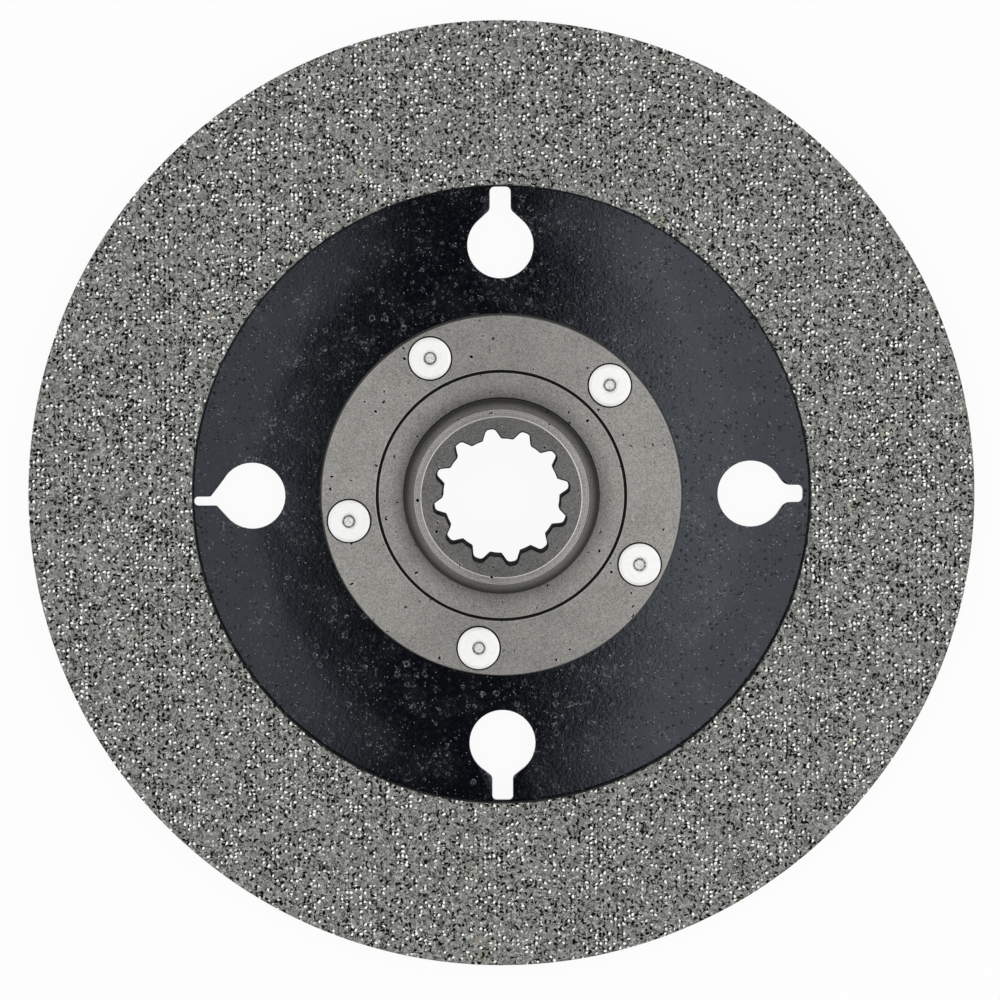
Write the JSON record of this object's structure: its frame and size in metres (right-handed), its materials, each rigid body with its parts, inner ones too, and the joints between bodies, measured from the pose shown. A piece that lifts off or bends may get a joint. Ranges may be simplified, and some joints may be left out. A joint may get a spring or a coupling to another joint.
{
  "type": "clutch disc",
  "caption": "Rigid clutch disc: splined hub riveted to a slotted steel plate, with a moulded friction facing bonded on each side.",
  "frame": {"origin": "on the disc's axis, at the outer face of the rear facing, which is the lowest face", "axes": "+Z along the disc's axis towards the hub's barrel, +X and +Y through the holes of the plate, with +Y up in the picture"},
  "size_m": [0.2286, 0.2286, 0.02],
  "materials": {
    "facing": "moulded friction composite with pale and dark chips, dry and matt",
    "plate_paint": "black semi-gloss paint with orange peel and small craters",
    "hub_steel": "matt forged and turned steel, fine grained, with small pits",
    "rivet_zinc": "bright white zinc plate"
  },
  "bodies": {
    "root": {"driven_plate": "plate_paint", "front_facing": "facing", "rear_facing": "facing", "splined_hub": "hub_steel", "hub_rivet_1": "rivet_zinc", "hub_rivet_2": "rivet_zinc", "hub_rivet_3": "rivet_zinc", "hub_rivet_4": "rivet_zinc", "hub_rivet_5": "rivet_zinc"}
  },
  "joints": []
}
